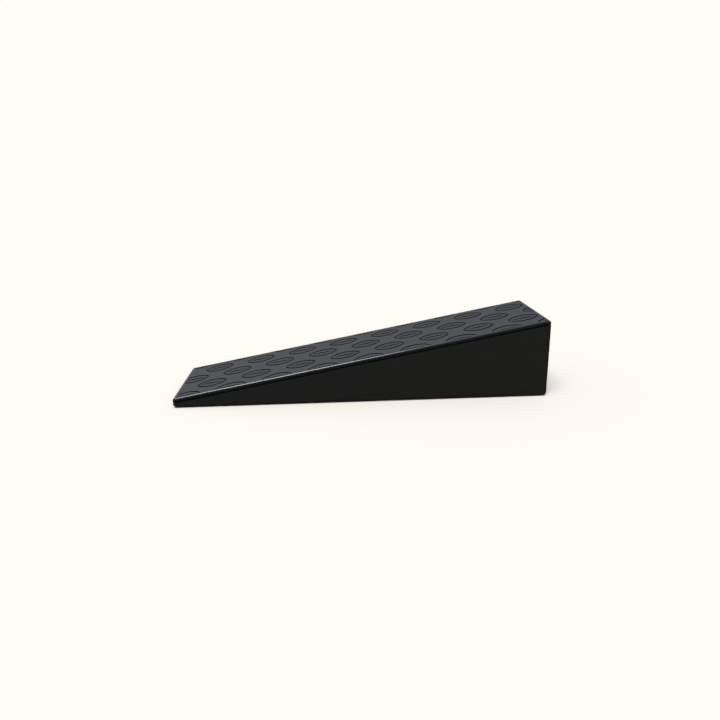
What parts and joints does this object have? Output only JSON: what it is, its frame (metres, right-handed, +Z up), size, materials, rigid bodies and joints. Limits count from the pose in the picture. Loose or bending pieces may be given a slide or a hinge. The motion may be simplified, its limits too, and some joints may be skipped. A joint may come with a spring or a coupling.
{
  "type": "slant board",
  "caption": "Fixed-angle wedge to stand on for stretching and squats: thin rounded toe, tall square heel, engraved rubber tread on the slope, and a screwed-on base with rubber foot pads.",
  "frame": {"origin": "on the floor, under the middle of the board's length and width", "axes": "+X runs from the thin toe to the tall heel, +Z is up, and +Y is to the left of someone who faces up the slope"},
  "size_m": [0.36, 0.1, 0.0751],
  "materials": {
    "shell_plastic": "satin moulded, fine grain",
    "bond_adhesive": "matt foam adhesive",
    "tread_rubber": "matt, engraved",
    "frame_plastic": "as moulded",
    "cover_plastic": "matt moulded",
    "screw_steel": "zinc plated",
    "pad_rubber": "matt, ribbed"
  },
  "bodies": {
    "root": {"outer_shell": "shell_plastic", "bond_sheet": "bond_adhesive", "tread_cap": "tread_rubber", "rib_frame": "frame_plastic", "base_cover": "cover_plastic", "cover_screws": "screw_steel", "toe_pad_left": "pad_rubber", "toe_pad_right": "pad_rubber", "middle_pad_left": "pad_rubber", "middle_pad_right": "pad_rubber", "heel_pad_left": "pad_rubber", "heel_pad_right": "pad_rubber"}
  },
  "joints": []
}
